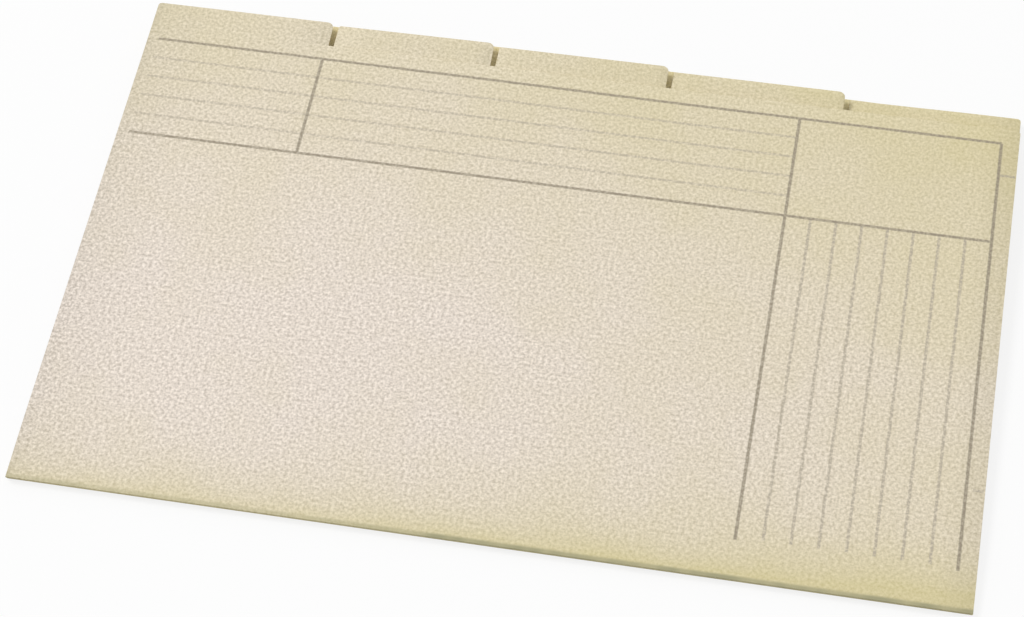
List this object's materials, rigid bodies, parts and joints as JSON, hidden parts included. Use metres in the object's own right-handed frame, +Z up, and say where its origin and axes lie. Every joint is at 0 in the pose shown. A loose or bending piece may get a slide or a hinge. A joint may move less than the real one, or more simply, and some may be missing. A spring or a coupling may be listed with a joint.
{
  "type": "compartment file folder",
  "caption": "Manila compartment file: a ruled front cover, tabbed divider leaves and a plain back cover, creased and glued in a stack so that each leaf turns on its fold to open a compartment.",
  "frame": {"origin": "centre of the file's outline on the desk, at the underside of the back cover", "axes": "+X along the creases from the front cover's tab to the last divider's tab, +Y from the creases to the tabs, +Z up from the desk"},
  "size_m": [0.356, 0.2396, 0.0097],
  "materials": {
    "printed_manila": "smooth manila board with a thin grey ruling printed on its upper face",
    "divider_manila": "smooth matt manila board",
    "back_manila": "smooth matt manila board",
    "foot_manila": "smooth matt manila board",
    "dry_glue": "dried white paper glue"
  },
  "bodies": {
    "back": {"back_cover": "back_manila", "divider_4_glue": "dry_glue", "divider_4_foot": "foot_manila"},
    "fourth_divider": {"divider_4": "divider_manila", "divider_3_glue": "dry_glue", "divider_3_foot": "foot_manila"},
    "third_divider": {"divider_3": "divider_manila", "divider_2_glue": "dry_glue", "divider_2_foot": "foot_manila"},
    "second_divider": {"divider_2": "divider_manila", "divider_1_glue": "dry_glue", "divider_1_foot": "foot_manila"},
    "first_divider": {"divider_1": "divider_manila", "front_cover_glue": "dry_glue", "front_cover_foot": "foot_manila"},
    "front": {"front_cover": "printed_manila"}
  },
  "joints": [
    {"name": "divider_4_crease", "type": "hinge", "parent": "back", "child": "fourth_divider", "pos_m": [0, -0.11843, 0.00072], "axis": [1, 0, 0], "range_deg": [0, 30]},
    {"name": "divider_3_crease", "type": "hinge", "parent": "fourth_divider", "child": "third_divider", "pos_m": [0, -0.11873, 0.00132], "axis": [1, 0, 0], "range_deg": [0, 30]},
    {"name": "divider_2_crease", "type": "hinge", "parent": "third_divider", "child": "second_divider", "pos_m": [0, -0.11904, 0.00192], "axis": [1, 0, 0], "range_deg": [0, 30]},
    {"name": "divider_1_crease", "type": "hinge", "parent": "second_divider", "child": "first_divider", "pos_m": [0, -0.11935, 0.00251], "axis": [1, 0, 0], "range_deg": [0, 30]},
    {"name": "front_cover_crease", "type": "hinge", "parent": "first_divider", "child": "front", "pos_m": [0, -0.11967, 0.0031], "axis": [1, 0, 0], "range_deg": [0, 178]}
  ]
}
